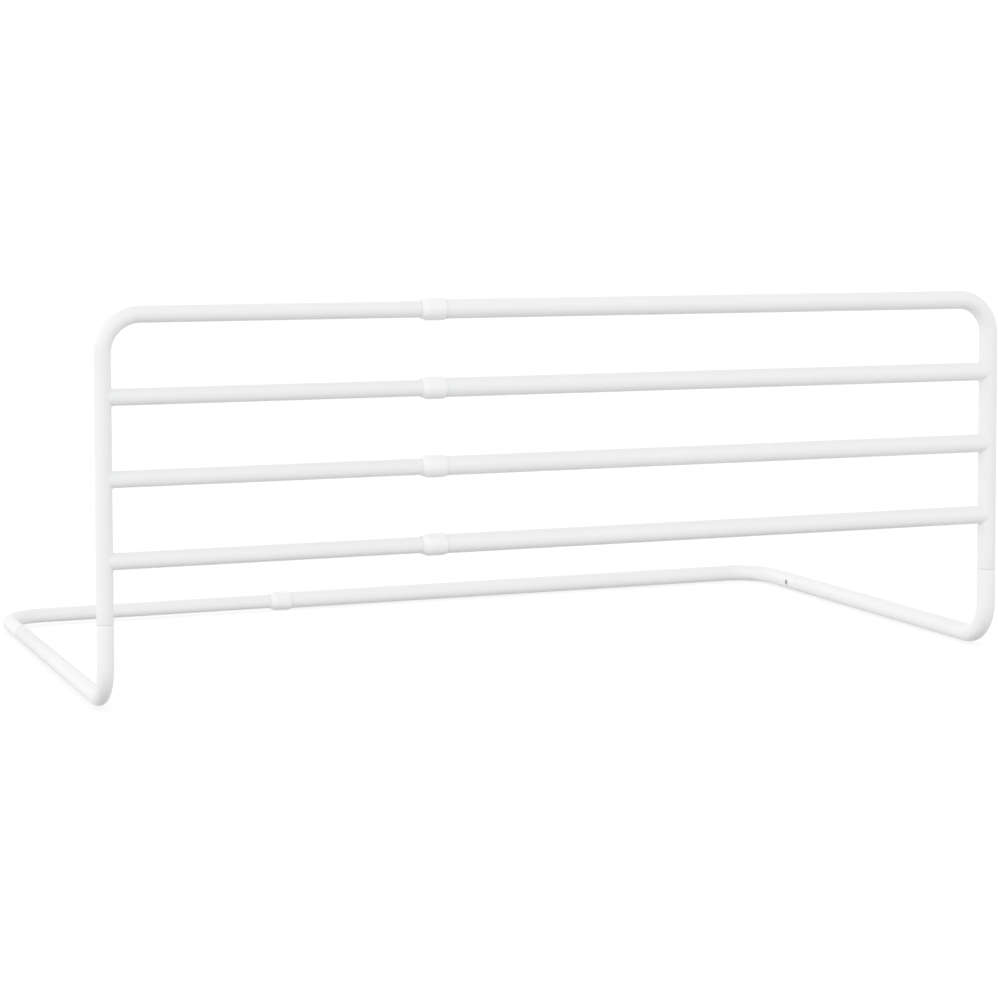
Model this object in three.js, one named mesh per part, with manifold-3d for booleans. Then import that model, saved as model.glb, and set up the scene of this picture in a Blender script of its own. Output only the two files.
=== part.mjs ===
// A free-standing guard rail for the side of a bed, in white steel tube. Two halves telescope in five places
// to set the width. The base runs back under the mattress and holds the panel up. All sizes are in millimetres.
// X runs along the panel, Y from the panel back to the rear bar, and Z up. The floor is at Z zero, and the
// origin lies under the middle of the rail as it stands in its half-extended width.
import * as THREE from 'three';
import { mergeVertices } from 'three/addons/utils/BufferGeometryUtils.js';
import Module from 'manifold-3d';

const wasm = await Module();
wasm.setup();

// Overall sizes, over the tubes
const overallWidth = 974;
const overallDepth = 550;

// Tubes: the right half is the wide tube, and the left half slides inside it
const wideDiameter = 19;
const tubeWall = 1;
const slideClearance = 0.5;
const narrowDiameter = wideDiameter - 2 * tubeWall - 2 * slideClearance;

// Panel: heights are measured from the centre line of the floor tubes
const lowCrossbarHeight = 133.4;
const crossbarPitch = 76.8;
const crossbarNames = ['low', 'middle', 'high'];
const topRailHeight = lowCrossbarHeight + crossbarNames.length * crossbarPitch;
const topBendRadius = 36;

// Base
const footBendRadius = 37.5;
const rearBendRadius = 46.5;

// Lengths of the telescoping tubes, from the centre line of their own post to the inner end
const wideReach = 635;
const narrowReach = 617;

// Plug-in joints: one at the foot of each post, one near the back of each leg
const postSeamHeight = 74.8;
const legSeamToRearBar = 115;
const spigotLength = 38;
const spigotNeck = 5;
const spigotChamfer = 1;

// Clearances: seatGap between parts that rest on each other, runningGap between parts that slide
const seatGap = 0.3;
const runningGap = 0.15;
const weldGap = 0.3;

// Collars on the mouths of the wide tubes
const collarDiameter = 22;
const collarLipLength = 8;
const collarLength = 24.4;
const collarTaperLength = 5.8;
const collarNoseWall = 0.6;
const collarRearChamfer = 3.4;
const collarRearWall = 0.8;

// Guide plugs in the inner ends of the narrow tubes
const plugLandLength = 25;
const plugStemLength = 18;
const plugBore = 9;
const plugChamfer = 1;

// Spring clips with a button, one inside each plug-in joint
const buttonFromSeam = 19;
const buttonDiameter = 5.2;
const buttonHoleClearance = 0.4;
const buttonProud = 0.6;
const buttonDomeHeight = 1;
const clipWidth = 5;
const clipThickness = 0.6;
const clipBendDepth = 12;
const clipTailLength = 6;

// Facets
const tubeSides = 24;
const bendSteps = 8;
const buttonSides = 16;
const domeSteps = 3;
const clipBendSegments = 12;
const mergeDistance = 1e-4;

const wideRadius = wideDiameter / 2;
const narrowRadius = narrowDiameter / 2;
const collarRadius = collarDiameter / 2;
const buttonRadius = buttonDiameter / 2;
const floorTubeHeight = collarRadius;
const rearBarY = overallDepth - wideDiameter;
const legSeamY = rearBarY - legSeamToRearBar;

const along = { x: new THREE.Vector3(1, 0, 0), y: new THREE.Vector3(0, 1, 0), z: new THREE.Vector3(0, 0, 1) };

const whitePaint = new THREE.MeshStandardMaterial({ color: 0xeeeeee, roughness: 0.35, metalness: 0 });
const whitePlastic = new THREE.MeshStandardMaterial({ color: 0xf2f3f5, roughness: 0.45, metalness: 0 });
const springSteel = new THREE.MeshStandardMaterial({ color: 0x6c6c6e, roughness: 0.35, metalness: 1 });

// The two halves. inward is the direction along X from the post to the middle of the rail.
const rightHalf = {
  name: 'right',
  inward: -1,
  radius: wideRadius,
  reach: wideReach,
  postX: overallWidth / 2 - wideRadius,
};
const leftHalf = {
  name: 'left',
  inward: 1,
  radius: narrowRadius,
  reach: narrowReach,
  postX: narrowRadius - overallWidth / 2,
};

// The five telescoping lines, placed in the panel's plane and over the floor tubes' centre line
const slideLines = [
  { name: 'top_rail', y: 0, z: topRailHeight },
  ...crossbarNames.map((name, index) => ({ name: `${name}_crossbar`, y: 0, z: crossbarHeight(index) })),
  { name: 'rear_bar', y: rearBarY, z: 0 },
];

function crossbarHeight(index) {
  return lowCrossbarHeight + index * crossbarPitch;
}

// Booleans

function toSolid(geometry) {
  const bare = geometry.clone();
  bare.deleteAttribute('normal');
  bare.deleteAttribute('uv');
  const merged = mergeVertices(bare, mergeDistance);
  const vertProperties = new Float32Array(merged.attributes.position.array);
  const triVerts = new Uint32Array(merged.index.array);
  return new wasm.Manifold(new wasm.Mesh({ numProp: 3, vertProperties, triVerts }));
}

function toGeometry(solid) {
  const { vertProperties, triVerts } = solid.getMesh();
  const geometry = new THREE.BufferGeometry();
  geometry.setAttribute('position', new THREE.BufferAttribute(new Float32Array(vertProperties), 3));
  geometry.setIndex(new THREE.BufferAttribute(new Uint32Array(triVerts), 1));
  geometry.computeVertexNormals();
  return geometry;
}

function cut(geometry, ...cutters) {
  return toGeometry(cutters.reduce((solid, cutter) => solid.subtract(toSolid(cutter)), toSolid(geometry)));
}

function join(geometry, ...others) {
  return toGeometry(others.reduce((solid, other) => solid.add(toSolid(other)), toSolid(geometry)));
}

// Round sections are polygons whose flats lie at the true radius and face along the axes.
function cornerRadius(radius, sides) {
  return radius / Math.cos(Math.PI / sides);
}

function sectionPoints(radius) {
  const corner = cornerRadius(radius, tubeSides);
  return Array.from({ length: tubeSides }, (_, index) => {
    const angle = ((index + 0.5) * 2 * Math.PI) / tubeSides;
    return new THREE.Vector2(corner * Math.cos(angle), corner * Math.sin(angle));
  });
}

// A turned piece about the Y axis. The profile's points are [radius, distance along the axis].
function turned(profile, sides = tubeSides) {
  const points = profile.map(([radius, distance]) => new THREE.Vector2(cornerRadius(radius, sides), distance));
  return new THREE.LatheGeometry(points, sides, Math.PI / sides);
}

function turnedAlongX(profile, sides) {
  return turned(profile, sides).rotateZ(-Math.PI / 2);
}

function peg(radius, length, sides) {
  const corner = cornerRadius(radius, sides);
  return new THREE.CylinderGeometry(corner, corner, length, sides, 1, false, Math.PI / sides);
}

// A route for a tube, with a section at each station: one at each end of a straight and several in a bend
class TubeRoute extends THREE.Curve {
  constructor(stations) {
    super();
    this.stations = stations;
  }

  stationAt(share) {
    return this.stations[Math.round(share * (this.stations.length - 1))];
  }

  getPointAt(share) {
    return this.stationAt(share).point.clone();
  }

  getTangentAt(share) {
    return this.stationAt(share).tangent.clone();
  }
}

function straightRoute(start, end) {
  const tangent = end.clone().sub(start).normalize();
  return new TubeRoute([{ point: start, tangent }, { point: end, tangent }]);
}

// Straight, right-angled bend, straight
function bentRoute(start, corner, end, radius) {
  const before = corner.clone().sub(start).normalize();
  const after = end.clone().sub(corner).normalize();
  const centre = corner.clone().addScaledVector(before, -radius).addScaledVector(after, radius);
  const stations = [{ point: start, tangent: before }];
  for (let step = 0; step <= bendSteps; step += 1) {
    const angle = (Math.PI / 2) * (step / bendSteps);
    const sine = Math.sin(angle);
    const cosine = Math.cos(angle);
    stations.push({
      point: centre.clone().addScaledVector(before, radius * sine).addScaledVector(after, -radius * cosine),
      tangent: before.clone().multiplyScalar(cosine).addScaledVector(after, sine),
    });
  }
  stations.push({ point: end, tangent: after });
  return new TubeRoute(stations);
}

function tubeAlong(route, radius) {
  const section = new THREE.Shape(sectionPoints(radius));
  section.holes.push(new THREE.Path(sectionPoints(radius - tubeWall)));
  const steps = route.stations.length - 1;
  return new THREE.ExtrudeGeometry(section, { steps, extrudePath: route, bevelEnabled: false });
}

// Plug-in joints. In a joint's own frame the spigot points along Y from its seam at zero, and the button
// points along X, so the clip's arm turns about Z.
function jointFrame(seam, spigotDirection, buttonDirection) {
  const turnAxis = buttonDirection.clone().cross(spigotDirection);
  return new THREE.Matrix4().makeBasis(buttonDirection, spigotDirection, turnAxis).setPosition(seam);
}

function postJointFrame() {
  return jointFrame(new THREE.Vector3(0, 0, postSeamHeight), along.z, along.y);
}

function legJointFrame(half) {
  const buttonDirection = along.x.clone().multiplyScalar(half.inward);
  return jointFrame(new THREE.Vector3(0, legSeamY, 0), along.y, buttonDirection);
}

function spigotRadius(half) {
  return half.radius - tubeWall - seatGap;
}

function spigotBoreRadius(half) {
  return spigotRadius(half) - tubeWall;
}

function spigot(half, frame) {
  const outer = spigotRadius(half);
  const bore = spigotBoreRadius(half);
  return turned([
    [half.radius, -spigotNeck],
    [half.radius, 0],
    [outer, 0],
    [outer, spigotLength - spigotChamfer],
    [outer - spigotChamfer / 2, spigotLength],
    [bore, spigotLength],
    [bore, -tubeWall],
    [half.radius - tubeWall, -2 * tubeWall],
    [half.radius - tubeWall, -spigotNeck],
    [half.radius, -spigotNeck],
  ]).applyMatrix4(frame);
}

// The cutter for a button's hole, through one side of the tube
function buttonHole(half, frame) {
  const hole = peg(buttonRadius + buttonHoleClearance, half.radius * 2, buttonSides);
  return hole.rotateZ(-Math.PI / 2).translate(half.radius, buttonFromSeam, 0).applyMatrix4(frame);
}

// How far from the joint's axis the clip's two arms reach: their corners stay seatGap from the bore
function clipReach(half) {
  return Math.sqrt(spigotBoreRadius(half) ** 2 - (clipWidth / 2) ** 2) - seatGap;
}

// The fixed arm and the bend of a clip, a U in the plane of the joint's axis and its button
function clipGeometry(half) {
  const outer = clipReach(half);
  const inner = outer - clipThickness;
  const tail = buttonFromSeam + clipTailLength;
  const outline = new THREE.Shape();
  outline.moveTo(-outer, tail);
  outline.lineTo(-outer, -clipBendDepth);
  outline.absarc(0, -clipBendDepth, outer, Math.PI, 2 * Math.PI, false);
  outline.lineTo(inner, -clipBendDepth);
  outline.absarc(0, -clipBendDepth, inner, 2 * Math.PI, Math.PI, true);
  outline.lineTo(-inner, tail);
  const settings = { depth: clipWidth, bevelEnabled: false, curveSegments: clipBendSegments };
  return new THREE.ExtrudeGeometry(outline, settings).translate(0, 0, -clipWidth / 2);
}

// The moving arm of a clip with the button on it
function buttonGeometry(half) {
  const reach = clipReach(half);
  const start = seatGap - clipBendDepth;
  const armLength = buttonFromSeam + clipTailLength - start;
  const arm = new THREE.BoxGeometry(clipThickness, armLength, clipWidth);
  arm.translate(reach - clipThickness / 2, start + armLength / 2, 0);
  const tip = half.radius + buttonProud;
  const dome = Array.from({ length: domeSteps + 1 }, (_, step) => {
    const angle = (Math.PI / 2) * (step / domeSteps);
    return [buttonRadius * Math.cos(angle), tip - buttonDomeHeight * (1 - Math.sin(angle))];
  });
  const foot = reach - clipThickness / 2;
  const pin = turnedAlongX([[0, foot], [buttonRadius, foot], ...dome], buttonSides);
  return join(arm, pin.translate(0, buttonFromSeam, 0));
}

// Tubes of one half, with the foot of its post's centre line as origin

function topTube(half) {
  const start = new THREE.Vector3(half.inward * half.reach, 0, topRailHeight);
  const corner = new THREE.Vector3(0, 0, topRailHeight);
  const end = new THREE.Vector3(0, 0, postSeamHeight + seatGap);
  const tube = tubeAlong(bentRoute(start, corner, end, topBendRadius), half.radius);
  return cut(tube, buttonHole(half, postJointFrame()));
}

// A crossbar starts at the post's centre line, and the post's own round is cut from its end as a saddle.
function crossbar(half) {
  const end = new THREE.Vector3(half.inward * half.reach, 0, 0);
  const tube = tubeAlong(straightRoute(new THREE.Vector3(), end), half.radius);
  return cut(tube, peg(half.radius + weldGap, half.radius * 4, tubeSides).rotateX(Math.PI / 2));
}

function legTube(half) {
  const start = new THREE.Vector3(0, 0, postSeamHeight - spigotNeck);
  const end = new THREE.Vector3(0, legSeamY - spigotNeck, 0);
  const tube = tubeAlong(bentRoute(start, new THREE.Vector3(), end, footBendRadius), half.radius);
  const postFrame = postJointFrame();
  const legFrame = legJointFrame(half);
  const plugged = join(tube, spigot(half, postFrame), spigot(half, legFrame));
  return cut(plugged, buttonHole(half, postFrame), buttonHole(half, legFrame));
}

function rearTube(half) {
  const start = new THREE.Vector3(0, legSeamY + seatGap, 0);
  const corner = new THREE.Vector3(0, rearBarY, 0);
  const end = new THREE.Vector3(half.inward * half.reach, rearBarY, 0);
  const tube = tubeAlong(bentRoute(start, corner, end, rearBendRadius), half.radius);
  return cut(tube, buttonHole(half, legJointFrame(half)));
}

// A collar on the mouth of a wide tube: a lip round the narrow tube, then a socket over the wide one.
// It starts at its tapered nose and runs along X.
function collarGeometry() {
  const lipBore = narrowRadius + runningGap;
  const socketBore = wideRadius + seatGap;
  return turnedAlongX([
    [lipBore, 0],
    [lipBore + collarNoseWall, 0],
    [collarRadius, collarTaperLength],
    [collarRadius, collarLength - collarRearChamfer],
    [socketBore + collarRearWall, collarLength],
    [socketBore, collarLength],
    [socketBore, collarLipLength],
    [lipBore, collarLipLength],
    [lipBore, 0],
  ]);
}

// A guide plug: a stem inside the narrow tube, and a land that slides in the wide one. It starts at the
// land's seat on the narrow tube's end and runs along X.
function plugGeometry() {
  const stem = narrowRadius - tubeWall - seatGap;
  const land = wideRadius - tubeWall - runningGap;
  const bore = plugBore / 2;
  return turnedAlongX([
    [bore, -plugStemLength],
    [stem - plugChamfer, -plugStemLength],
    [stem, plugChamfer - plugStemLength],
    [stem, 0],
    [land, 0],
    [land, plugLandLength - plugChamfer],
    [land - plugChamfer, plugLandLength],
    [bore, plugLandLength],
    [bore, -plugStemLength],
  ]);
}

// The scene

function piece(name, geometry, material) {
  const mesh = new THREE.Mesh(geometry, material);
  mesh.name = name;
  return mesh;
}

function clipPieces(half, place, frame) {
  const clip = piece(`${half.name}_${place}_clip`, clipGeometry(half), springSteel);
  const button = piece(`${half.name}_${place}_button`, buttonGeometry(half), springSteel);
  clip.applyMatrix4(frame);
  button.applyMatrix4(frame);
  return [clip, button];
}

function halfGroup(half) {
  const group = new THREE.Group();
  group.position.x = half.postX;
  group.add(piece(`${half.name}_top_tube`, topTube(half), whitePaint));
  group.add(piece(`${half.name}_leg_tube`, legTube(half), whitePaint));
  group.add(piece(`${half.name}_rear_tube`, rearTube(half), whitePaint));
  crossbarNames.forEach((name, index) => {
    const bar = piece(`${half.name}_${name}_crossbar`, crossbar(half), whitePaint);
    bar.position.z = crossbarHeight(index);
    group.add(bar);
  });
  group.add(...clipPieces(half, 'post', postJointFrame()));
  group.add(...clipPieces(half, 'leg', legJointFrame(half)));
  return group;
}

function collarAndPlug(line) {
  const mouthX = rightHalf.postX - wideReach;
  const innerEndX = leftHalf.postX + narrowReach;
  const collar = piece(`${line.name}_collar`, collarGeometry(), whitePlastic);
  collar.position.set(mouthX - seatGap - collarLipLength, line.y, line.z);
  const plug = piece(`${line.name}_guide_plug`, plugGeometry(), whitePlastic);
  plug.position.set(innerEndX + seatGap, line.y, line.z);
  return [collar, plug];
}

const guardRail = new THREE.Group();
guardRail.position.set(0, wideRadius - overallDepth / 2, floorTubeHeight);
guardRail.add(halfGroup(rightHalf), halfGroup(leftHalf));
slideLines.forEach((line) => guardRail.add(...collarAndPlug(line)));

export default guardRail;
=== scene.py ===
"""Dresses an extending bed guard rail: powder-coated tubes, moulded collars and steel buttons."""

import math

import bmesh
import bpy
from bpy.props import FloatProperty, FloatVectorProperty, IntProperty, PointerProperty
from mathutils import Matrix, Vector


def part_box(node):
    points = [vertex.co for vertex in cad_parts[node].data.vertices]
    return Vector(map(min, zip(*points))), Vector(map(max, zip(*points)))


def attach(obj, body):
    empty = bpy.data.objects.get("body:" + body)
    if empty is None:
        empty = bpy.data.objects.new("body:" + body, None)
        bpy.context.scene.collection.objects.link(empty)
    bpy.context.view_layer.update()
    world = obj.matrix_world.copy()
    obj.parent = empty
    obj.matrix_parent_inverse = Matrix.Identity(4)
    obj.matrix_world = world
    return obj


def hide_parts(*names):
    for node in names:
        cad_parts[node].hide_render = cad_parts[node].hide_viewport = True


bl_info = {
    "name": "Extending Bed Rail",
    "version": (1, 0, 0),
    "blender": (4, 5, 0),
    "location": "View3D > Sidebar > Bed Rail",
    "description": "Builds the visible tubes, collars and buttons of an extending bed guard rail",
    "category": "Object",
}

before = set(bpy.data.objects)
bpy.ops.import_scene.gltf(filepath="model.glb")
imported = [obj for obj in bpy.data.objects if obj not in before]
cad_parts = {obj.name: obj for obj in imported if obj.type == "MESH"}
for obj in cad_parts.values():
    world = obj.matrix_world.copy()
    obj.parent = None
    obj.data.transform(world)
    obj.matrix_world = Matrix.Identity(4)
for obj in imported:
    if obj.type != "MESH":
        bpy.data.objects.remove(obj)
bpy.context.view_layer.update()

MM = 0.001

ALONG_X = Vector((1, 0, 0))
ALONG_Y = Vector((0, 1, 0))
ALONG_Z = Vector((0, 0, 1))

# The right half has the wide tubes, and the left half the narrow ones that slide in them
RIGHT = "right"
LEFT = "left"
POST = "post"
LEG = "leg"
JOINT_PLACES = (POST, LEG)
BAR_NAMES = ("low", "middle", "high")
LINE_NAMES = ("top_rail", "low_crossbar", "middle_crossbar", "high_crossbar", "rear_bar")
TUBE_SLOT = "white_powder_coat"
COLLAR_SLOT = "white_plastic"
PLUG_SLOT = "plug_plastic"
STEEL_SLOT = "spring_steel"


# Sizes and colours that a user would change


class RailShape(bpy.types.PropertyGroup):
    """Sizes that the frame's boxes don't give."""

    wall: FloatProperty(
        name="Tube Wall",
        description="Wall thickness of both tubes",
        default=1 * MM,
        unit="LENGTH",
        precision=4,
    )
    top_bend: FloatProperty(
        name="Top Bend",
        description="Centre line radius of the bend from the top rail to a post",
        default=36 * MM,
        unit="LENGTH",
    )
    foot_bend: FloatProperty(
        name="Foot Bend",
        description="Centre line radius of the bend from a post to its leg",
        default=37.5 * MM,
        unit="LENGTH",
    )
    rear_bend: FloatProperty(
        name="Rear Bend",
        description="Centre line radius of the bend from a leg to the rear bar",
        default=46.5 * MM,
        unit="LENGTH",
    )
    edge_round: FloatProperty(
        name="Tube Edge",
        description="How far the paint rounds the cut end of a tube",
        default=0.25 * MM,
        unit="LENGTH",
        precision=5,
    )
    weld_width: FloatProperty(
        name="Weld Width",
        description="Leg of the fillet weld at the top and bottom of a crossbar's end",
        default=1.8 * MM,
        unit="LENGTH",
        precision=5,
    )
    seam_gap: FloatProperty(
        name="Seam Gap",
        description="Open gap at the seam of a plug-in joint",
        default=0.15 * MM,
        unit="LENGTH",
        precision=5,
    )
    seat_gap: FloatProperty(
        name="Seat Gap",
        description="Clearance of a piece that sits in or on another, and of a tube's end from its joint",
        default=0.3 * MM,
        unit="LENGTH",
        precision=5,
    )
    segments: IntProperty(
        name="Round Segments",
        description="Sides of a round section, and half the sides of a crossbar's",
        default=64,
        min=16,
        max=128,
    )


class RailFinish(bpy.types.PropertyGroup):
    """Colours and surface texture."""

    paint: FloatVectorProperty(
        name="Powder Coat",
        description="Colour of the tubes",
        default=(0.8905, 0.8942, 0.9007),
        subtype="COLOR",
        min=0,
        max=1,
    )
    paint_peel: FloatProperty(
        name="Orange Peel",
        description="Height of the powder coat's orange peel",
        default=0.012 * MM,
        unit="LENGTH",
        precision=6,
    )
    collar: FloatVectorProperty(
        name="Collar Plastic",
        description="Colour of the collars, a brighter white than the tubes",
        default=(0.945, 0.95, 0.958),
        subtype="COLOR",
        min=0,
        max=1,
    )
    plug: FloatVectorProperty(
        name="Plug Plastic",
        description="Colour of the guide plugs inside the tubes",
        default=(0.8, 0.8, 0.78),
        subtype="COLOR",
        min=0,
        max=1,
    )
    steel: FloatVectorProperty(
        name="Spring Steel",
        description="Colour of the clips and buttons",
        default=(0.42, 0.42, 0.43),
        subtype="COLOR",
        min=0,
        max=1,
    )


class RailStage(bpy.types.PropertyGroup):
    """Camera, light and floor."""

    focal_length: FloatProperty(
        name="Focal Length", description="Lens of the camera", default=89.727, unit="CAMERA"
    )
    camera_place: FloatVectorProperty(
        name="Camera Place",
        description="Where the camera stands",
        default=(-0.97973, -2.54187, 0.47164),
        subtype="TRANSLATION",
        unit="LENGTH",
        precision=5,
    )
    camera_turn: FloatProperty(
        name="Camera Turn",
        description="How far the camera is turned from facing the panel squarely",
        default=0.375,
        subtype="ANGLE",
    )
    camera_tilt: FloatProperty(
        name="Camera Tilt",
        description="How far the camera looks down",
        default=0.0562,
        subtype="ANGLE",
    )
    camera_roll: FloatProperty(
        name="Camera Roll",
        description="Roll of the camera about its view",
        default=-0.002,
        subtype="ANGLE",
    )
    camera_shift: FloatProperty(
        name="Camera Shift",
        description="Upward shift of the lens. Below zero it looks lower and keeps posts nearly upright",
        default=-0.15,
    )
    floor_shade: FloatVectorProperty(
        name="Floor Shade",
        description="The part of the floor's brightness that shadows take away",
        default=(0.38, 0.38, 0.38),
        subtype="COLOR",
        min=0,
        max=1,
    )
    floor_glow: FloatProperty(
        name="Floor Glow",
        description="The part of the floor's brightness that shadows leave",
        default=0.67,
        min=0,
    )
    surround: FloatProperty(
        name="Surround Light", description="Strength of the white surround", default=1.158, min=0
    )
    below: FloatProperty(
        name="Light from Below",
        description="Brightness of the surround straight below, where 1 is its brightest band",
        default=0.125,
        min=0,
        max=1,
    )
    lean: FloatVectorProperty(
        name="Light Lean",
        description="How the surround's light leans to the left and the front",
        default=(-0.2, -0.007, 0.0),
        subtype="DIRECTION",
        precision=3,
    )
    key_power: FloatProperty(
        name="Key Light",
        description="Power of the soft light at the upper left",
        default=3.0,
        min=0,
        unit="POWER",
    )


# Shader trees

# Sockets of a Mix node that mixes colours
MIX_FACTOR = 0
MIX_FIRST = 6
MIX_SECOND = 7
MIX_RESULT = 2


class Socket:
    """A shader socket that ordinary maths can be written on."""

    def __init__(self, shader, socket):
        self.shader = shader
        self.socket = socket

    def maths(self, operation, first, second):
        return self.shader.add("ShaderNodeMath", {"operation": operation}, {0: first, 1: second})

    def __add__(self, other):
        return self.maths("ADD", self, other)

    def __radd__(self, other):
        return self.maths("ADD", other, self)

    def __mul__(self, other):
        return self.maths("MULTIPLY", self, other)

    def __rmul__(self, other):
        return self.maths("MULTIPLY", other, self)


class Shader:
    """A node tree of a material or the surround, filled one node at a time."""

    def __init__(self, tree):
        self.tree = tree
        self.tree.nodes.clear()

    def add(self, kind, settings=None, sockets=None, output=0):
        """Adds a node, sets it up, feeds its sockets, and returns one of its outputs."""
        node = self.tree.nodes.new(kind)
        for name, value in (settings or {}).items():
            if name == "stops":
                self.set_stops(node.color_ramp, value)
            else:
                setattr(node, name, value)
        for key, value in (sockets or {}).items():
            if isinstance(value, Socket):
                self.tree.links.new(value.socket, node.inputs[key])
            else:
                node.inputs[key].default_value = value
        return Socket(self, node.outputs[output]) if len(node.outputs) else None

    @staticmethod
    def set_stops(ramp, stops):
        while len(ramp.elements) < len(stops):
            ramp.elements.new(1)
        for element, (position, colour) in zip(ramp.elements, stops):
            element.position = position
            element.color = colour

    def noise(self, kind):
        """A noise that stays on its piece. kind is (grains per metre, detail)."""
        per_metre, detail = kind
        place = self.add("ShaderNodeTexCoord", output="Object")
        sockets = {"Vector": place, "Scale": per_metre, "Detail": detail}
        return self.add("ShaderNodeTexNoise", sockets=sockets)

    def mottled(self, colour, shades, noise):
        """A colour that a noise drifts between a darker and a lighter shade of it."""
        darker, lighter = (with_alpha(colour, shade) for shade in shades)
        sockets = {MIX_FACTOR: noise, MIX_FIRST: darker, MIX_SECOND: lighter}
        return self.add("ShaderNodeMix", {"data_type": "RGBA"}, sockets, output=MIX_RESULT)

    def bump(self, height, distance):
        """A surface relief. distance is how far a height of 1 stands out."""
        sockets = {"Strength": 1.0, "Distance": distance, "Height": height}
        return self.add("ShaderNodeBump", sockets=sockets)


def with_alpha(colour, brightness=1.0):
    return (*(part * brightness for part in colour), 1.0)


def with_noise(values, noise):
    """A value that a noise adds to. values is (least, how much the noise adds)."""
    least, added = values
    return least + noise * added


def new_material(name):
    material = bpy.data.materials.new(name)
    material.use_nodes = True
    return material, Shader(material.node_tree)


def finish_material(shader, sockets):
    surface = shader.add("ShaderNodeBsdfPrincipled", sockets=sockets)
    shader.add("ShaderNodeOutputMaterial", sockets={"Surface": surface})


# Materials

# A noise is (grains per metre, detail), and shades are (darker, lighter)
# A roughness is (least, how much its noise adds)
EVEN_SHADES = (0.985, 1.01)
FINE_RELIEF = 0.004 * MM
PAINT_DRIFT = (9, 3)
PAINT_PEEL = (620, 1.5)
PAINT_GRAIN = (2400, 1)
PAINT_GRAIN_SHARE = 0.25
PAINT_ROUGHNESS = (0.3, 0.12)
PAINT_REFRACTION = 1.5
PAINT_COAT = 0.15
PAINT_COAT_ROUGHNESS = 0.12
COLLAR_CLOUD = (60, 2)
COLLAR_SPARK = (3200, 1)
COLLAR_ROUGHNESS = (0.24, 0.08)
COLLAR_REFRACTION = 1.49
COLLAR_SCATTER = 0.1
COLLAR_SCATTER_COLOURS = (1.0, 1.0, 1.0)
COLLAR_SCATTER_DEPTH = 1.2 * MM
PLUG_CLOUD = (150, 3)
PLUG_SHADES = (0.94, 1.0)
PLUG_ROUGHNESS = (0.5, 0.15)
STEEL_STAIN = (420, 4)
STEEL_SCRATCH = (5200, 2)
STEEL_SHADES = (0.75, 1.2)
STEEL_ROUGHNESS = (0.32, 0.2)


def powder_coat(finish):
    """White powder coat: a faint orange peel, and a gloss that drifts a little along the tubes."""
    material, shader = new_material("powder_coat")
    drift = shader.noise(PAINT_DRIFT)
    height = shader.noise(PAINT_PEEL) + shader.noise(PAINT_GRAIN) * PAINT_GRAIN_SHARE
    finish_material(
        shader,
        {
            "Base Color": shader.mottled(finish.paint, EVEN_SHADES, drift),
            "Roughness": with_noise(PAINT_ROUGHNESS, drift),
            "Normal": shader.bump(height, finish.paint_peel),
            "IOR": PAINT_REFRACTION,
            "Coat Weight": PAINT_COAT,
            "Coat Roughness": PAINT_COAT_ROUGHNESS,
        },
    )
    return material


def collar_plastic(finish):
    """Smooth moulded plastic with a very fine spark texture."""
    material, shader = new_material("collar_plastic")
    cloud = shader.noise(COLLAR_CLOUD)
    finish_material(
        shader,
        {
            "Base Color": shader.mottled(finish.collar, EVEN_SHADES, cloud),
            "Roughness": with_noise(COLLAR_ROUGHNESS, cloud),
            "Normal": shader.bump(shader.noise(COLLAR_SPARK), FINE_RELIEF),
            "IOR": COLLAR_REFRACTION,
            "Subsurface Weight": COLLAR_SCATTER,
            "Subsurface Radius": COLLAR_SCATTER_COLOURS,
            "Subsurface Scale": COLLAR_SCATTER_DEPTH,
        },
    )
    return material


def plug_plastic(finish):
    """Matt natural plastic, as on parts that stay inside the tubes."""
    material, shader = new_material("plug_plastic")
    cloud = shader.noise(PLUG_CLOUD)
    finish_material(
        shader,
        {
            "Base Color": shader.mottled(finish.plug, PLUG_SHADES, cloud),
            "Roughness": with_noise(PLUG_ROUGHNESS, cloud),
        },
    )
    return material


def spring_steel(finish):
    """Zinc-plated spring steel that has gone dull, with fine scratches."""
    material, shader = new_material("spring_steel")
    stain = shader.noise(STEEL_STAIN)
    finish_material(
        shader,
        {
            "Base Color": shader.mottled(finish.steel, STEEL_SHADES, stain),
            "Roughness": with_noise(STEEL_ROUGHNESS, stain),
            "Metallic": 1.0,
            "Normal": shader.bump(shader.noise(STEEL_SCRATCH), FINE_RELIEF),
        },
    )
    return material


MATERIAL_MAKERS = {
    TUBE_SLOT: powder_coat,
    COLLAR_SLOT: collar_plastic,
    PLUG_SLOT: plug_plastic,
    STEEL_SLOT: spring_steel,
}
made_materials = {}


def material_for(slot, finish):
    if slot not in made_materials:
        made_materials[slot] = MATERIAL_MAKERS[slot](finish)
    return made_materials[slot]


# Facts read from the frame


class Half:
    """Centre lines and sizes of a half of the rail, from its CAD boxes. inward is the way in along x."""

    def __init__(self, name):
        self.name = name
        self.body = f"{name}_half"
        self.inward = -1 if name == RIGHT else 1
        low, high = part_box(f"{name}_top_tube")
        self.radius = (high.y - low.y) / 2
        self.panel_y = (low.y + high.y) / 2
        self.rail_z = high.z - self.radius
        self.seam_z = low.z
        self.post_x = high.x - self.radius if name == RIGHT else low.x + self.radius
        self.inner_x = low.x if name == RIGHT else high.x
        low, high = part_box(f"{name}_leg_tube")
        self.floor_z = low.z + self.radius
        self.spigot_top_z = high.z
        self.spigot_back_y = high.y
        low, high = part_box(f"{name}_rear_tube")
        self.leg_seam_y = low.y
        self.rear_y = high.y - self.radius
        self.rear_inner_x = low.x if name == RIGHT else high.x

    def bar_z(self, bar):
        low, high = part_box(f"{self.name}_{bar}_crossbar")
        return (low.z + high.z) / 2


def both_halves():
    return [Half(name) for name in (RIGHT, LEFT)]


# Meshes from rings of points

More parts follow.
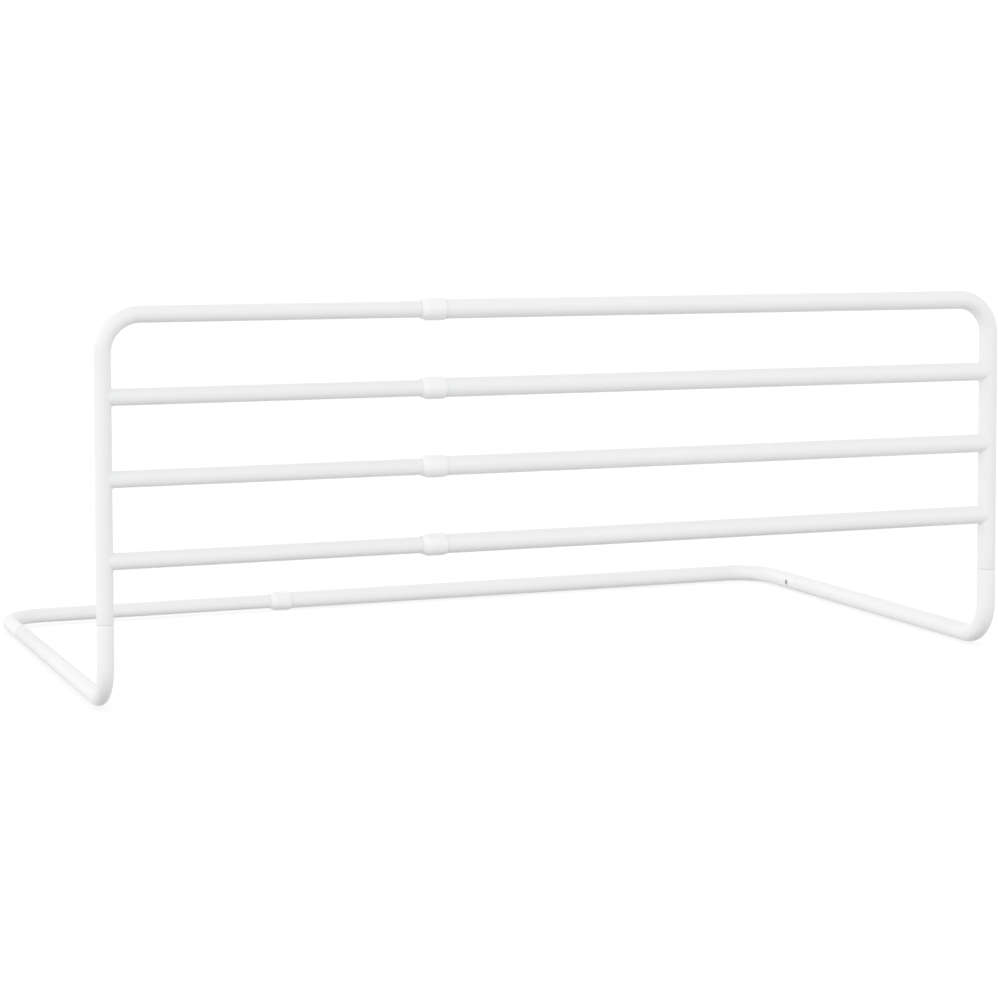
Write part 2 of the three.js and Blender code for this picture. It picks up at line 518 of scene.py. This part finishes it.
# The angle in degrees from which an edge stays sharp in a smooth surface
SHARP_ANGLES = {TUBE_SLOT: 28, COLLAR_SLOT: 35, PLUG_SLOT: 35, STEEL_SLOT: 28}


def full_turns(sides):
    """The angles of the corners of a round section."""
    return [2 * math.pi * index / sides for index in range(sides)]


def quarter_turns(steps):
    """Angles from nothing to a quarter turn, in equal steps."""
    return [math.pi / 2 * step / steps for step in range(steps + 1)]


def round_ring(centre, direction, side, radius, sides):
    """A circle of points square to direction, starting at side."""
    across = direction.cross(side)
    return [
        centre + side * (radius * math.cos(turn)) + across * (radius * math.sin(turn))
        for turn in full_turns(sides)
    ]


def skin(name, rings, closed):
    """A mesh over rings of equal length. A closed skin joins its last ring to its first."""
    count = len(rings[0])
    points = [point for ring in rings for point in ring]
    faces = []
    for row in range(len(rings) if closed else len(rings) - 1):
        lower = row * count
        upper = (row + 1) % len(rings) * count
        for index in range(count):
            after = (index + 1) % count
            faces.append((lower + index, lower + after, upper + after, upper + index))
    if not closed:
        faces.append(tuple(reversed(range(count))))
        faces.append(tuple(range(len(points) - count, len(points))))
    mesh = bpy.data.meshes.new(name)
    mesh.from_pydata(points, [], faces)
    mesh.validate()
    return mesh


def new_object(name, data):
    thing = bpy.data.objects.new(name, data)
    bpy.context.scene.collection.objects.link(thing)
    return thing


def solid(name, rings, closed=True):
    """An object with a skin over rings. A volume below zero says that its faces point inwards."""
    thing = new_object(name, skin(name, rings, closed))
    work = bmesh.new()
    work.from_mesh(thing.data)
    if work.calc_volume(signed=True) < 0:
        bmesh.ops.reverse_faces(work, faces=work.faces)
        work.to_mesh(thing.data)
    work.free()
    return thing


def combine(thing, others, operation):
    """Adds closed meshes to a piece, or cuts them out of it, and deletes them."""
    for other in others:
        change = thing.modifiers.new("combine", "BOOLEAN")
        change.operation = operation
        change.solver = "EXACT"
        change.object = other
    bpy.context.view_layer.update()
    depsgraph = bpy.context.evaluated_depsgraph_get()
    mesh = bpy.data.meshes.new_from_object(thing.evaluated_get(depsgraph))
    thing.modifiers.clear()
    thing.data = mesh
    for other in others:
        bpy.data.objects.remove(other)


def dress(thing, node, body, slot, finish):
    """Gives a piece its finish, and puts it in the place of its CAD node on its body."""
    thing.data.shade_smooth()
    thing.data.set_sharp_from_angle(angle=math.radians(SHARP_ANGLES[slot]))
    thing.data.materials.clear()
    thing.data.materials.append(material_for(slot, finish))
    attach(thing, body)
    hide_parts(node)


# Plug-in joints

BUTTON_FROM_SEAM = 19 * MM
HOLE_RADIUS = 3.0 * MM
HOLE_ROUND = 0.25 * MM
HOLE_STEPS = 4
HOLE_OVERSHOOT = 0.02 * MM
HOLE_MARGIN = 5 * MM


class SnapJoint:
    """A plug-in joint. Its spigot points along from the seam, and its button out through the tube."""

    def __init__(self, half, place, shape):
        self.half = half
        self.shape = shape
        self.name = f"{half.name}_{place}"
        if place == POST:
            self.seam = Vector((half.post_x, half.panel_y, half.seam_z - shape.seat_gap))
            self.out = ALONG_Y
            self.along = ALONG_Z
        else:
            self.seam = Vector((half.post_x, half.leg_seam_y - shape.seat_gap, half.floor_z))
            self.out = ALONG_X * half.inward
            self.along = ALONG_Y
        self.across = self.out.cross(self.along)

    def at(self, out, along, across=0.0):
        return self.seam + self.out * out + self.along * along + self.across * across

    def span(self, node, direction):
        """How far a CAD node's box reaches from the seam, backwards and forwards along a direction."""
        ends = [(corner - self.seam).dot(direction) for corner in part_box(node)]
        return min(ends), max(ends)

    def tube_surface(self, across):
        """How far out the tube's surface lies at a distance across."""
        return math.sqrt(self.half.radius**2 - across**2)

    def cutter_ring(self, radius, out_at):
        """A ring round the button's axis. out_at turns a distance across into a distance out."""
        ring = []
        for turn in full_turns(self.shape.segments):
            across = radius * math.cos(turn)
            ring.append(self.at(out_at(across), BUTTON_FROM_SEAM + radius * math.sin(turn), across))
        return ring

    def hole_cutter(self, rim):
        """Cutter for the button's hole. rim rounds its edge at the tube's outside, as paint does."""
        radius = HOLE_RADIUS
        rings = [self.cutter_ring(radius, lambda across: 0.0)]
        if rim:
            for angle in quarter_turns(HOLE_STEPS):
                sink = HOLE_ROUND * (1 - math.sin(angle)) - HOLE_OVERSHOOT
                radius = HOLE_RADIUS + HOLE_ROUND * (1 - math.cos(angle))
                rings.append(
                    self.cutter_ring(radius, lambda across, sink=sink: self.tube_surface(across) - sink)
                )
        rings.append(self.cutter_ring(radius, lambda across: 2 * self.half.radius))
        return solid("hole_cutter", rings, closed=False)


# Bent tubes

BEND_STEPS = 20
ROUND_STEPS = 3
NEAR_HOLE = (BUTTON_FROM_SEAM - HOLE_MARGIN, BUTTON_FROM_SEAM + HOLE_MARGIN)
SPIGOT_CHAMFER = 1 * MM

# How far from its seam a leg's bore starts and stops narrowing into the spigot
NECK_FROM = 2 * MM
NECK_TO = 1 * MM


class Station:
    """One place along a tube: a point on its centre line and the direction there."""

    def __init__(self, point, direction):
        self.point = point
        self.direction = direction

    def ring(self, side, radius, sides, ahead=0.0):
        return round_ring(self.point + self.direction * ahead, self.direction, side, radius, sides)

    def moved(self, ahead):
        return Station(self.point + self.direction * ahead, self.direction)


def bend_stations(start, corner, end, radius):
    """The stations of a right-angled bend, with the two ends of the centre line before and after them."""
    before = (corner - start).normalized()
    after = (end - corner).normalized()
    centre = corner - before * radius + after * radius
    stations = []
    for angle in quarter_turns(BEND_STEPS):
        point = centre + before * (radius * math.sin(angle)) - after * (radius * math.cos(angle))
        stations.append(Station(point, before * math.cos(angle) + after * math.sin(angle)))
    return Station(start, before), stations, Station(end, after)


def rim_profile(radius, edge, side):
    """Half a rounded rim, from a surface to the cut. side is -1 at a tube's outside and 1 at its bore."""
    return [
        (edge * (math.sin(angle) - 1), radius + side * edge * (1 - math.cos(angle)))
        for angle in quarter_turns(ROUND_STEPS)
    ]


def cut_end(half, shape):
    """Profile of a cut tube end, from its outer surface over the paint-rounded rim to its bore."""
    outside = rim_profile(half.radius, shape.edge_round, -1)
    bore = rim_profile(half.radius - shape.wall, shape.edge_round, 1)
    return outside + bore[::-1]


def spigot_end(half, shape, length):
    """Profile of a leg's plug-in end: a rounded shoulder at the seam, then the spigot and its bore."""
    outer = half.radius - shape.wall - shape.seat_gap
    bore = outer - shape.wall
    return [
        *rim_profile(half.radius, shape.edge_round, -1),
        (0.0, outer),
        (length - SPIGOT_CHAMFER, outer),
        (length, outer - SPIGOT_CHAMFER / 2),
        (length, bore),
        (-NECK_TO, bore),
        (-NECK_FROM, half.radius - shape.wall),
    ]


def tube_rings(half, shape, stations, side, start_profile, end_profile):
    """Rings along a tube's outside, round its end, back along its bore and round its start."""
    start, middle, end = stations
    sides = shape.segments
    inner = half.radius - shape.wall
    rings = [station.ring(side, half.radius, sides) for station in middle]
    rings += [end.ring(side, radius, sides, ahead) for ahead, radius in end_profile]
    rings += [station.ring(side, inner, sides) for station in reversed(middle)]
    rings += [start.ring(side, radius, sides, -ahead) for ahead, radius in reversed(start_profile)]
    return rings


def finish_tube(half, name, node, rings, cutters, finish):
    """Makes a tube over its rings, cuts its button holes and dresses it."""
    tube = solid(f"{half.name}_{name}", rings)
    combine(tube, cutters, "DIFFERENCE")
    dress(tube, f"{half.name}_{node}", half.body, TUBE_SLOT, finish)


def build_top_tube(half, shape, finish):
    """Half of the top rail, bent down into its post."""
    start = Vector((half.inner_x, half.panel_y, half.rail_z))
    corner = Vector((half.post_x, half.panel_y, half.rail_z))
    end = Vector((half.post_x, half.panel_y, half.seam_z))
    first, middle, last = bend_stations(start, corner, end, shape.top_bend)
    middle += [last.moved(-distance) for distance in reversed(NEAR_HOLE)]
    rim = cut_end(half, shape)
    rings = tube_rings(half, shape, (first, middle, last), ALONG_Y, rim, rim)
    cutter = SnapJoint(half, POST, shape).hole_cutter(rim=True)
    finish_tube(half, "top_rail_and_post", "top_tube", rings, [cutter], finish)


def build_leg_tube(half, shape, finish):
    """A leg, bent back from the foot of its post, with a spigot at each end."""
    seam_z = half.seam_z - shape.seam_gap
    seam_y = half.leg_seam_y - shape.seam_gap
    start = Vector((half.post_x, half.panel_y, seam_z))
    corner = Vector((half.post_x, half.panel_y, half.floor_z))
    end = Vector((half.post_x, seam_y, half.floor_z))
    stations = bend_stations(start, corner, end, shape.foot_bend)
    top = spigot_end(half, shape, half.spigot_top_z - seam_z)
    back = spigot_end(half, shape, half.spigot_back_y - seam_y)
    rings = tube_rings(half, shape, stations, ALONG_X, top, back)
    cutters = [SnapJoint(half, place, shape).hole_cutter(rim=False) for place in JOINT_PLACES]
    finish_tube(half, "leg", "leg_tube", rings, cutters, finish)


def build_rear_tube(half, shape, finish):
    """The rear end of a leg, bent into half of the rear bar."""
    start = Vector((half.post_x, half.leg_seam_y, half.floor_z))
    corner = Vector((half.post_x, half.rear_y, half.floor_z))
    end = Vector((half.rear_inner_x, half.rear_y, half.floor_z))
    first, middle, last = bend_stations(start, corner, end, shape.rear_bend)
    middle = [first.moved(distance) for distance in NEAR_HOLE] + middle
    rim = cut_end(half, shape)
    rings = tube_rings(half, shape, (first, middle, last), ALONG_Z, rim, rim)
    cutter = SnapJoint(half, LEG, shape).hole_cutter(rim=True)
    finish_tube(half, "rear_corner_and_bar", "rear_tube", rings, [cutter], finish)


class RAIL_OT_tubes(bpy.types.Operator):
    """Build the two posts with their halves of the top rail, the two legs and the two rear tubes"""

    bl_idname = "bed_rail.tubes"
    bl_label = "Bent Tubes"

    def execute(self, context):
        shape = context.scene.bed_rail_shape
        finish = context.scene.bed_rail_finish
        for half in both_halves():
            build_top_tube(half, shape, finish)
            build_leg_tube(half, shape, finish)
            build_rear_tube(half, shape, finish)
        return {"FINISHED"}


# Crossbars

WELD_STEPS = 6
WELD_RIPPLES = 22
WELD_RIPPLE_SHARE = 0.16
WELD_SINK = 0.06 * MM
WELD_LEAST_SHARE = 0.015


def bar_sides(shape):
    """Crossbars have finer sections, which the ripples of their welds need."""
    return 2 * shape.segments


def weld_size(turn, width):
    """A fillet that fades out at the sides, where bar and post are flush, and ripples along its run."""
    bead = math.sin(turn) ** 2 * (1 + WELD_RIPPLE_SHARE * math.sin(WELD_RIPPLES * turn))
    return width * (WELD_LEAST_SHARE + bead)


def saddle_ring(half, z, shape, radius, rise, run):
    """Points round a crossbar's end, laid on its post. rise widens them, and run draws them off it."""
    ring = []
    for turn in full_turns(bar_sides(shape)):
        weld = weld_size(turn, shape.weld_width)
        around = radius + rise * weld
        across = around * math.cos(turn)
        post_depth = math.sqrt(max(half.radius**2 - across**2, 0.0))
        ahead = run * weld - WELD_SINK
        x = half.post_x + half.inward * (post_depth + ahead)
        ring.append(Vector((x, half.panel_y + across, z + around * math.sin(turn))))
    return ring


def weld_rings(half, z, shape):
    """Rings from the bar's surface over a hollow fillet on to the post, then back to the bar's bore."""
    rings = []
    for angle in quarter_turns(WELD_STEPS):
        rise = 1 - math.cos(angle)
        run = 1 - math.sin(angle)
        rings.append(saddle_ring(half, z, shape, half.radius, rise, run))
    rings.append(saddle_ring(half, z, shape, half.radius - shape.wall, 0, 0))
    return rings


def build_crossbar(half, bar, shape, finish):
    """A crossbar's tube, with the weld that holds it on its post."""
    z = half.bar_z(bar)
    mouth = Vector((half.inner_x, half.panel_y, z))
    rings = weld_rings(half, z, shape)
    for ahead, radius in reversed(cut_end(half, shape)):
        centre = mouth + ALONG_X * (half.inward * ahead)
        rings.append(round_ring(centre, ALONG_X, ALONG_Y, radius, bar_sides(shape)))
    crossbar = solid(f"{half.name}_{bar}_bar", rings)
    dress(crossbar, f"{half.name}_{bar}_crossbar", half.body, TUBE_SLOT, finish)


class RAIL_OT_crossbars(bpy.types.Operator):
    """Build the six crossbars with their welds on the posts"""

    bl_idname = "bed_rail.crossbars"
    bl_label = "Crossbars"

    def execute(self, context):
        shape = context.scene.bed_rail_shape
        finish = context.scene.bed_rail_finish
        for half in both_halves():
            for bar in BAR_NAMES:
                build_crossbar(half, bar, shape, finish)
        return {"FINISHED"}


# Pieces turned about the line of their tubes

CORNER_STEPS = 4


def soften(corners):
    """Rounds a closed outline's corners. Each corner is (distance, radius, rounding)."""
    outline = []
    for index, (distance, radius, rounding) in enumerate(corners):
        here = Vector((distance, radius))
        if not rounding:
            outline.append(here)
            continue
        before = Vector(corners[index - 1][:2]) - here
        after = Vector(corners[(index + 1) % len(corners)][:2]) - here
        start = here + before.normalized() * rounding
        end = here + after.normalized() * rounding
        for step in range(CORNER_STEPS + 1):
            share = step / CORNER_STEPS
            outline.append(start * (1 - share) ** 2 + here * (2 * share * (1 - share)) + end * share**2)
    return outline


def line_start(low, high):
    """The middle of the left end of a turned piece's box."""
    return Vector((low.x, (low.y + high.y) / 2, (low.z + high.z) / 2))


def turned_ring(start, point, shape):
    """The ring that a point of the outline makes. Its x lies along the line and its y is a radius."""
    return round_ring(start + ALONG_X * point.x, ALONG_X, ALONG_Y, point.y, shape.segments)


# Collars

COLLAR_TAPER = 5.8 * MM
COLLAR_REAR_CHAMFER = 3.4 * MM
COLLAR_LIP = 8 * MM
COLLAR_NOSE_WALL = 0.6 * MM
COLLAR_REAR_WALL = 0.8 * MM
COLLAR_LIP_GAP = 0.15 * MM
COLLAR_EDGE_ROUND = 0.3 * MM
COLLAR_NOSE_ROUND = 1.5 * MM
COLLAR_REAR_ROUND = 1.2 * MM


def build_collar(line, narrow, wide, shape, finish):
    """A tapered collar: its lip runs on the narrow tube, and its socket sits on the wide tube's mouth."""
    node = f"{line}_collar"
    low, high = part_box(node)
    radius = (high.z - low.z) / 2
    length = high.x - low.x
    lip_bore = narrow.radius + COLLAR_LIP_GAP
    socket_bore = wide.radius + shape.seat_gap
    outline = soften(
        [
            (0, lip_bore, 0),
            (0, lip_bore + COLLAR_NOSE_WALL, COLLAR_EDGE_ROUND),
            (COLLAR_TAPER, radius, COLLAR_NOSE_ROUND),
            (length - COLLAR_REAR_CHAMFER, radius, COLLAR_REAR_ROUND),
            (length, socket_bore + COLLAR_REAR_WALL, COLLAR_EDGE_ROUND),
            (length, socket_bore, 0),
            (COLLAR_LIP, socket_bore, 0),
            (COLLAR_LIP, lip_bore, 0),
        ]
    )
    start = line_start(low, high)
    collar = solid(f"{line}_moulded_collar", [turned_ring(start, point, shape) for point in outline])
    dress(collar, node, wide.body, COLLAR_SLOT, finish)


class RAIL_OT_collars(bpy.types.Operator):
    """Build the five moulded collars on the mouths of the wide tubes"""

    bl_idname = "bed_rail.collars"
    bl_label = "Collars"

    def execute(self, context):
        wide, narrow = both_halves()
        for line in LINE_NAMES:
            build_collar(line, narrow, wide, context.scene.bed_rail_shape, context.scene.bed_rail_finish)
        return {"FINISHED"}


# Guide plugs

PLUG_STEM = 18 * MM
PLUG_BORE_RADIUS = 4.5 * MM
PLUG_ROUND = 1.0 * MM
PLUG_FINE_ROUND = 0.3 * MM
PLUG_RIBS = 8
PLUG_RIB_HEIGHT = 0.4 * MM
PLUG_RIB_SHARPNESS = 6
PLUG_GROOVE_DEPTH = 0.5 * MM
PLUG_GROOVE_WIDTH = 1.6 * MM
PLUG_GROOVE_ROUND = 0.15 * MM
PLUG_GROOVES = (6 * MM, 11.5 * MM, 17 * MM)
SAME_RADIUS = 0.001 * MM


def plug_outline(length, stem, land):
    """Outline of a plug: a stem for the narrow tube, and a grooved land that slides in the wide one."""
    corners = [
        (0, PLUG_BORE_RADIUS, PLUG_FINE_ROUND),
        (0, stem, PLUG_ROUND),
        (PLUG_STEM, stem, 0),
        (PLUG_STEM, land, PLUG_FINE_ROUND),
    ]
    floor = land - PLUG_GROOVE_DEPTH
    for groove in PLUG_GROOVES:
        near = PLUG_STEM + groove
        far = near + PLUG_GROOVE_WIDTH
        for distance, radius in ((near, land), (near, floor), (far, floor), (far, land)):
            corners.append((distance, radius, PLUG_GROOVE_ROUND))
    corners += [(length, land, PLUG_ROUND), (length, PLUG_BORE_RADIUS, PLUG_FINE_ROUND)]
    return soften(corners)


def ribbed(ring, middle):
    """Draws a ring of the plug's stem in, except on its ribs."""
    drawn = []
    for turn, point in zip(full_turns(len(ring)), ring):
        rib = abs(math.cos(turn * PLUG_RIBS / 2)) ** PLUG_RIB_SHARPNESS
        drawn.append(point - (point - middle).normalized() * (PLUG_RIB_HEIGHT * (1 - rib)))
    return drawn


def build_plug(line, narrow, shape, finish):
    """A guide plug, with ribs along its stem and grooves round its land."""
    node = f"{line}_guide_plug"
    low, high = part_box(node)
    land = (high.z - low.z) / 2
    stem = narrow.radius - shape.wall - shape.seat_gap
    start = line_start(low, high)
    rings = []
    for point in plug_outline(high.x - low.x, stem, land):
        ring = turned_ring(start, point, shape)
        if abs(point.y - stem) < SAME_RADIUS:
            ring = ribbed(ring, start + ALONG_X * point.x)
        rings.append(ring)
    plug = solid(f"{line}_sliding_plug", rings)
    dress(plug, node, narrow.body, PLUG_SLOT, finish)


class RAIL_OT_plugs(bpy.types.Operator):
    """Build the five guide plugs in the inner ends of the narrow tubes"""

    bl_idname = "bed_rail.plugs"
    bl_label = "Guide Plugs"

    def execute(self, context):
        narrow = Half(LEFT)
        for line in LINE_NAMES:
            build_plug(line, narrow, context.scene.bed_rail_shape, context.scene.bed_rail_finish)
        return {"FINISHED"}


# Snap buttons and clips

STRIP_THICKNESS = 0.6 * MM
STRIP_EDGE = 0.2 * MM
STRIP_CORNER_STEPS = 4
STRIP_END_ROUND = 2.2 * MM
STRIP_END_STEPS = 6
CLIP_BEND_STEPS = 24
CLIP_GAP = 0.05 * MM
BUTTON_RADIUS = 2.6 * MM
BUTTON_DOME = 1.0 * MM
BUTTON_DOME_STEPS = 10
BUTTON_TIP_SHARE = 0.06
BUTTON_FOOT = 0.25 * MM
BUTTON_FOOT_STEPS = 4
PAD_WIDENS_FROM = 6.5 * MM
PAD_WIDENS_TO = 3.5 * MM
PAD_EXTRA = 0.45 * MM
PAD_STEPS = 6


def strip_section(half_width):
    """A strip's rounded section, as pairs of distances through its thickness and across its width."""
    section = []
    for corner, (up, over) in enumerate(((1, 1), (-1, 1), (-1, -1), (1, -1))):
        for angle in quarter_turns(STRIP_CORNER_STEPS):
            turn = math.pi / 2 * corner + angle
            through = up * (STRIP_THICKNESS / 2 - STRIP_EDGE) + STRIP_EDGE * math.cos(turn)
            across = over * (half_width - STRIP_EDGE) + STRIP_EDGE * math.sin(turn)
            section.append((through, across))
    return section


class Strip:
    """A bent spring strip in a joint, built one section after another."""

    def __init__(self, joint):
        self.joint = joint
        self.rings = []

    def add(self, out, along, tilt, half_width):
        """One section, with its thickness at tilt from the joint's out direction."""
        ring = []
        for through, across in strip_section(half_width):
            here_out = out + through * math.cos(tilt)
            here_along = along + through * math.sin(tilt)
            ring.append(self.joint.at(here_out, here_along, across))
        self.rings.append(ring)

    def add_tail(self, out, tail, tilt, half_width, angles):
        """The rounded tail end, from full width to the tip, or the other way for reversed angles."""
        for angle in angles:
            back = STRIP_END_ROUND * (1 - math.sin(angle))
            self.add(out, tail - back, tilt, half_width - STRIP_END_ROUND * (1 - math.cos(angle)))

    def build(self, name):
        return solid(name, self.rings, closed=False)


def clip_facts(joint):
    """A strip's distance from the axis, where its bend starts and its tails end, and its half width."""
    node = f"{joint.name}_clip"
    reach = -joint.span(node, joint.out)[0]
    start, tail = joint.span(node, joint.along)
    half_width = joint.span(node, joint.across)[1]
    return reach - STRIP_THICKNESS / 2, start + reach, tail, half_width


def build_clip(joint, finish):
    """The fixed arm of a clip and its bend."""
    middle, bend, tail, half_width = clip_facts(joint)
    strip = Strip(joint)
    strip.add_tail(-middle, tail, math.pi, half_width, reversed(quarter_turns(STRIP_END_STEPS)))
    for step in range(CLIP_BEND_STEPS + 1):
        turn = math.pi * (1 + step / CLIP_BEND_STEPS)
        strip.add(middle * math.cos(turn), bend + middle * math.sin(turn), turn, half_width)
    clip = strip.build(f"{joint.name}_spring_clip")
    dress(clip, f"{joint.name}_clip", joint.half.body, STEEL_SLOT, finish)


def button_rings(joint, arm, tip):
    """Rings of a button, from inside its arm over a hollow foot and its side to the top of its dome."""
    face = arm + STRIP_THICKNESS / 2
    profile = [(arm, BUTTON_RADIUS + BUTTON_FOOT)]
    for angle in quarter_turns(BUTTON_FOOT_STEPS):
        rise = BUTTON_FOOT * (1 - math.cos(angle))
        profile.append((face + rise, BUTTON_RADIUS + BUTTON_FOOT * (1 - math.sin(angle))))
    for angle in quarter_turns(BUTTON_DOME_STEPS)[:-1]:
        profile.append((tip - BUTTON_DOME * (1 - math.sin(angle)), BUTTON_RADIUS * math.cos(angle)))
    profile.append((tip, BUTTON_RADIUS * BUTTON_TIP_SHARE))
    foot = joint.at(0.0, BUTTON_FROM_SEAM)
    return [
        round_ring(foot + joint.out * out, joint.out, joint.along, radius, joint.shape.segments)
        for out, radius in profile
    ]


def build_button(joint, finish):
    """The moving arm of a clip and the button on it. Its body has the same name as its CAD node."""
    node = f"{joint.name}_button"
    middle, bend, tail, half_width = clip_facts(joint)
    strip = Strip(joint)
    strip.add(middle, bend + CLIP_GAP, 0.0, half_width)
    for step in range(PAD_STEPS + 1):
        share = step / PAD_STEPS
        wider = PAD_EXTRA * (1 - math.cos(math.pi * share)) / 2
        along = BUTTON_FROM_SEAM - PAD_WIDENS_FROM + (PAD_WIDENS_FROM - PAD_WIDENS_TO) * share
        strip.add(middle, along, 0.0, half_width + wider)
    strip.add_tail(middle, tail, 0.0, half_width + PAD_EXTRA, quarter_turns(STRIP_END_STEPS))
    arm = strip.build(f"{joint.name}_snap_button")
    tip = joint.span(node, joint.out)[1]
    pin = solid("pin", button_rings(joint, middle, tip), closed=False)
    combine(arm, [pin], "UNION")
    dress(arm, node, node, STEEL_SLOT, finish)


class RAIL_OT_snaps(bpy.types.Operator):
    """Build the spring clips and the snap buttons of the four plug-in joints"""

    bl_idname = "bed_rail.snaps"
    bl_label = "Snap Buttons"

    def execute(self, context):
        finish = context.scene.bed_rail_finish
        for half in both_halves():
            for place in JOINT_PLACES:
                joint = SnapJoint(half, place, context.scene.bed_rail_shape)
                build_clip(joint, finish)
                build_button(joint, finish)
        return {"FINISHED"}


# Stage

CAMERA_SENSOR = 36.0
FLOOR_HALF_SIDE = 30.0
FLOOR_ROUGHNESS = 0.9
WHITE = (1, 1, 1, 1)
KEY_SIZE = 1.6
KEY_PLACE = (-2.4, -3.2, 2.2)

# Heights in the surround are shares, from 0 straight below over 0.5 at the horizon to 1 overhead
LEVEL = 0.5
DARK_TO = 0.076
BELOW_FROM = 0.126
BELOW_TO = 0.45
HORIZON_FROM = 0.485
HORIZON_TO = 0.575
BRIGHTEST = 0.63
ZENITH_FROM = 0.95
BELOW_SHADE = 0.76
HORIZON_SHADE = 0.951
ZENITH_SHADE = 0.745


def make_camera(stage):
    data = bpy.data.cameras.new("camera")
    data.sensor_width = CAMERA_SENSOR
    data.lens = stage.focal_length
    data.shift_y = stage.camera_shift
    camera = new_object("camera", data)
    turn = Matrix.Rotation(-stage.camera_turn, 4, "Z")
    upright = Matrix.Rotation(math.pi / 2 - stage.camera_tilt, 4, "X")
    roll = Matrix.Rotation(stage.camera_roll, 4, "Z")
    camera.matrix_world = Matrix.Translation(stage.camera_place) @ turn @ upright @ roll
    bpy.context.scene.camera = camera


def make_floor(stage):
    """A wide floor that takes shadows but sheds no light on the rail."""
    side = FLOOR_HALF_SIDE
    corners = [(-side, -side, 0), (side, -side, 0), (side, side, 0), (-side, side, 0)]
    mesh = bpy.data.meshes.new("floor")
    mesh.from_pydata(corners, [], [(0, 1, 2, 3)])
    material, shader = new_material("floor")
    finish_material(
        shader,
        {
            "Base Color": with_alpha(stage.floor_shade),
            "Roughness": FLOOR_ROUGHNESS,
            "Specular IOR Level": 0.0,
            "Emission Color": WHITE,
            "Emission Strength": stage.floor_glow,
        },
    )
    mesh.materials.append(material)
    floor = new_object("floor", mesh)
    floor.visible_diffuse = False
    floor.visible_glossy = False


def grey_bands(shader, height, bands):
    """Grey that changes with the height. Each band is (height, shade)."""
    stops = [(position, (shade, shade, shade, 1)) for position, shade in bands]
    return shader.add("ShaderNodeValToRGB", {"stops": stops}, {0: height})


def make_surround(stage):
    """A white surround, plain at the horizon. It dims overhead and below, so that the tubes look round."""
    world = bpy.data.worlds.new("surround")
    world.use_nodes = True
    shader = Shader(world.node_tree)
    direction = shader.add("ShaderNodeTexCoord", output="Generated")
    upward = shader.add("ShaderNodeSeparateXYZ", sockets={0: direction}, output="Z")
    height = upward * LEVEL + LEVEL
    shades = (
        (DARK_TO, stage.below),
        (BELOW_FROM, BELOW_SHADE),
        (BELOW_TO, BELOW_SHADE),
        (HORIZON_FROM, HORIZON_SHADE),
        (HORIZON_TO, HORIZON_SHADE),
        (BRIGHTEST, 1),
        (ZENITH_FROM, ZENITH_SHADE),
    )
    leans = ((BELOW_TO, 1), (HORIZON_FROM, 0), (HORIZON_TO, 0), (BRIGHTEST, 1))
    lean = shader.add(
        "ShaderNodeVectorMath",
        {"operation": "DOT_PRODUCT"},
        {0: direction, 1: tuple(stage.lean)},
        output="Value",
    )
    strength = stage.surround + grey_bands(shader, height, leans) * lean
    sockets = {"Color": grey_bands(shader, height, shades), "Strength": strength}
    glow = shader.add("ShaderNodeBackground", sockets=sockets)
    shader.add("ShaderNodeOutputWorld", sockets={"Surface": glow})
    bpy.context.scene.world = world


def make_key(stage):
    """A soft light that points at the origin."""
    data = bpy.data.lights.new("key", "AREA")
    data.shape = "DISK"
    data.size = KEY_SIZE
    data.energy = stage.key_power
    key = new_object("key", data)
    key.location = KEY_PLACE
    key.rotation_euler = (-Vector(KEY_PLACE)).to_track_quat("-Z", "Y").to_euler()


class RAIL_OT_stage(bpy.types.Operator):
    """Set up the camera, the floor and the light"""

    bl_idname = "bed_rail.stage"
    bl_label = "Stage"

    def execute(self, context):
        stage = context.scene.bed_rail_stage
        make_camera(stage)
        make_floor(stage)
        make_surround(stage)
        make_key(stage)
        context.scene.view_settings.view_transform = "Standard"
        return {"FINISHED"}


class RAIL_PT_panel(bpy.types.Panel):
    """Settings and buttons of the bed rail"""

    bl_idname = "RAIL_PT_panel"
    bl_label = "Bed Rail"
    bl_space_type = "VIEW_3D"
    bl_region_type = "UI"
    bl_category = "Bed Rail"

    def draw(self, context):
        for group in SETTINGS:
            settings = getattr(context.scene, group)
            box = self.layout.box()
            for name in settings.__annotations__:
                box.prop(settings, name)
        for operator in OPERATORS:
            self.layout.operator(operator.bl_idname)


SETTINGS = {"bed_rail_shape": RailShape, "bed_rail_finish": RailFinish, "bed_rail_stage": RailStage}
OPERATORS = (
    RAIL_OT_tubes,
    RAIL_OT_crossbars,
    RAIL_OT_collars,
    RAIL_OT_plugs,
    RAIL_OT_snaps,
    RAIL_OT_stage,
)
CLASSES = (*SETTINGS.values(), *OPERATORS, RAIL_PT_panel)


def register():
    for kind in CLASSES:
        bpy.utils.register_class(kind)
    for name, kind in SETTINGS.items():
        setattr(bpy.types.Scene, name, PointerProperty(type=kind))


def unregister():
    for name in SETTINGS:
        delattr(bpy.types.Scene, name)
    for kind in reversed(CLASSES):
        bpy.utils.unregister_class(kind)


def main():
    register()
    bpy.ops.bed_rail.tubes()
    bpy.ops.bed_rail.crossbars()
    bpy.ops.bed_rail.collars()
    bpy.ops.bed_rail.plugs()
    bpy.ops.bed_rail.snaps()
    bpy.ops.bed_rail.stage()


if __name__ == "__main__":
    main()
